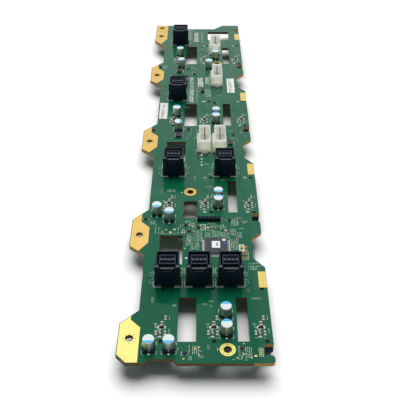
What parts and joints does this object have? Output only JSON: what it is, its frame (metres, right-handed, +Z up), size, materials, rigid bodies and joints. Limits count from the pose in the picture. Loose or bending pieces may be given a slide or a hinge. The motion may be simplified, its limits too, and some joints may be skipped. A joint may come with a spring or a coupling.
{
  "type": "drive backplane board",
  "caption": "Long green circuit board that joins a server's drive bays, with drive receptacles below and cable receptacles, power headers and gold screw tabs on top.",
  "frame": {"origin": "under the middle of the whole part, on the surface that its drive receptacles rest on", "axes": "+X across the board, away from the screw tabs; +Y along the board, away from the group of three cable receptacles; +Z up, out of the board's component side"},
  "size_m": [0.082, 0.4184, 0.0265],
  "materials": {
    "board": "green solder mask over glass-filled laminate",
    "gold_plating": "thin gold plating, satin",
    "black_moulding": "moulded black thermoplastic, low sheen",
    "contact_block": "moulded black thermoplastic",
    "ivory_nylon": "natural nylon",
    "tinned_metal": "matt tin plate",
    "can_aluminium": "drawn aluminium can, white and blue top",
    "package_epoxy": "moulded epoxy",
    "chip_ceramic": "fired ceramic",
    "white_paper": "blank white label"
  },
  "bodies": {
    "root": {"board": "board", "tab_pads": "gold_plating", "edge_pads": "gold_plating", "ring_pads": "gold_plating", "cable_hold_downs": "tinned_metal", "drive_receptacle_01": "black_moulding", "drive_receptacle_02": "black_moulding", "drive_receptacle_03": "black_moulding", "drive_receptacle_04": "black_moulding", "drive_receptacle_05": "black_moulding", "drive_receptacle_06": "black_moulding", "drive_receptacle_07": "black_moulding", "drive_receptacle_08": "black_moulding", "drive_receptacle_09": "black_moulding", "drive_receptacle_10": "black_moulding", "drive_receptacle_11": "black_moulding", "drive_receptacle_12": "black_moulding", "cable_receptacle_1": "black_moulding", "cable_receptacle_2": "black_moulding", "cable_receptacle_3": "black_moulding", "cable_receptacle_4": "black_moulding", "cable_receptacle_5": "black_moulding", "cable_receptacle_6": "black_moulding", "cable_receptacle_7": "black_moulding", "signal_header": "black_moulding", "cable_insert_1": "contact_block", "cable_insert_2": "contact_block", "cable_insert_3": "contact_block", "cable_insert_4": "contact_block", "cable_insert_5": "contact_block", "cable_insert_6": "contact_block", "cable_insert_7": "contact_block", "power_header_1": "ivory_nylon", "power_header_2": "ivory_nylon", "power_header_3": "ivory_nylon", "power_header_4": "ivory_nylon", "power_pins_1": "tinned_metal", "power_pins_2": "tinned_metal", "power_pins_3": "tinned_metal", "power_pins_4": "tinned_metal", "capacitor_leads": "tinned_metal", "controller_leads": "tinned_metal", "package_leads": "tinned_metal", "transistor_leads": "tinned_metal", "capacitor_cans": "can_aluminium", "capacitor_bases": "black_moulding", "controller_body": "package_epoxy", "package_bodies": "package_epoxy", "transistor_bodies": "package_epoxy", "bay_arrays": "package_epoxy", "bay_chips": "chip_ceramic", "controller_sticker": "white_paper", "paper_label_left": "white_paper", "paper_label_right": "white_paper"}
  },
  "joints": []
}
